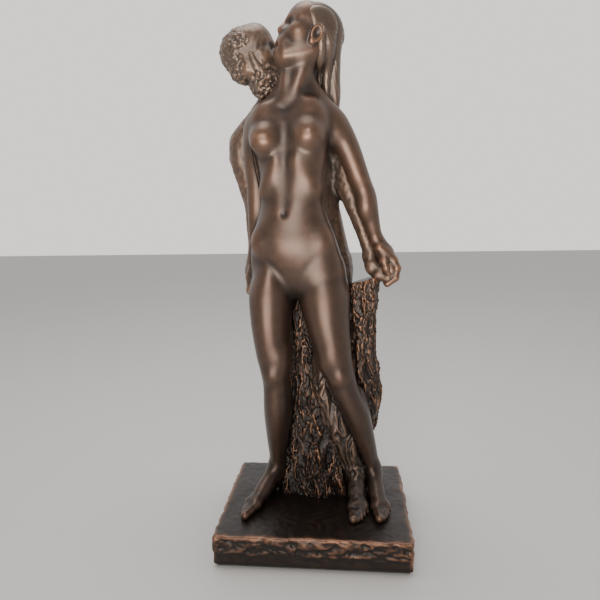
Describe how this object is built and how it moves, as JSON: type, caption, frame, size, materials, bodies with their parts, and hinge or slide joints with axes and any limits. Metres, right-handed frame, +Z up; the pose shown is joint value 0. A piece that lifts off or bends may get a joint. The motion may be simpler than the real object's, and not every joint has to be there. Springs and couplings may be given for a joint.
{
  "type": "figure group statue",
  "caption": "Standing figure group: a woman held from behind by a bearded man beside a tree trunk, cast in dowelled sections with a dark bronze patina, on a rectangular plinth.",
  "frame": {"origin": "middle of the felt's underside, on the surface that the statue stands on", "axes": "+Z up; -Y is the front, which the woman faces; +X is to the right as seen from the front"},
  "size_m": [0.181, 0.145, 0.4966],
  "materials": {
    "smooth_patina": "smooth cast resin, satin dark-brown bronze patina rubbed to copper on raised forms",
    "mottled_patina": "tooled cast resin, mottled dark-brown bronze patina",
    "hair_patina": "combed cast resin, dark-brown bronze patina with copper strands",
    "bark_patina": "rough bark in cast resin, dark patina with rubbed copper ridges",
    "plinth_patina": "cast resin block, near-black patina with copper-rubbed front",
    "felt": "dark felt",
    "steel": "zinc-plated rod and washers",
    "brass": "plain hexagon nuts"
  },
  "bodies": {
    "root": {"felt_pad": "felt", "limb_nut": "brass", "limb_stud": "steel", "limb_washer": "steel", "man_beard": "hair_patina", "man_hair": "hair_patina", "man_head": "mottled_patina", "man_left_arm": "mottled_patina", "man_left_foot": "mottled_patina", "man_left_foot_nut": "brass", "man_left_foot_stud": "steel", "man_left_foot_washer": "steel", "man_left_hand": "mottled_patina", "man_left_hip_pin": "steel", "man_left_leg": "mottled_patina", "man_left_shoulder_pin": "steel", "man_left_wrist_pin": "steel", "man_neck_pin": "steel", "man_right_arm": "mottled_patina", "man_right_foot": "mottled_patina", "man_right_foot_nut": "brass", "man_right_foot_stud": "steel", "man_right_foot_washer": "steel", "man_right_hand": "mottled_patina", "man_right_hip_pin": "steel", "man_right_leg": "mottled_patina", "man_right_shoulder_pin": "steel", "man_right_wrist_pin": "steel", "man_torso": "mottled_patina", "plinth": "plinth_patina", "tree_trunk": "bark_patina", "trunk_limb": "bark_patina", "trunk_nut": "brass", "trunk_stud": "steel", "trunk_washer": "steel", "woman_hair": "hair_patina", "woman_head": "smooth_patina", "woman_left_arm": "smooth_patina", "woman_left_foot": "smooth_patina", "woman_left_foot_nut": "brass", "woman_left_foot_stud": "steel", "woman_left_foot_washer": "steel", "woman_left_hand": "smooth_patina", "woman_left_hip_pin": "steel", "woman_left_leg": "smooth_patina", "woman_left_shoulder_pin": "steel", "woman_left_wrist_pin": "steel", "woman_neck_pin": "steel", "woman_right_arm": "smooth_patina", "woman_right_foot": "smooth_patina", "woman_right_foot_nut": "brass", "woman_right_foot_stud": "steel", "woman_right_foot_washer": "steel", "woman_right_hand": "smooth_patina", "woman_right_hip_pin": "steel", "woman_right_leg": "smooth_patina", "woman_right_shoulder_pin": "steel", "woman_right_wrist_pin": "steel", "woman_torso": "smooth_patina"}
  },
  "joints": []
}
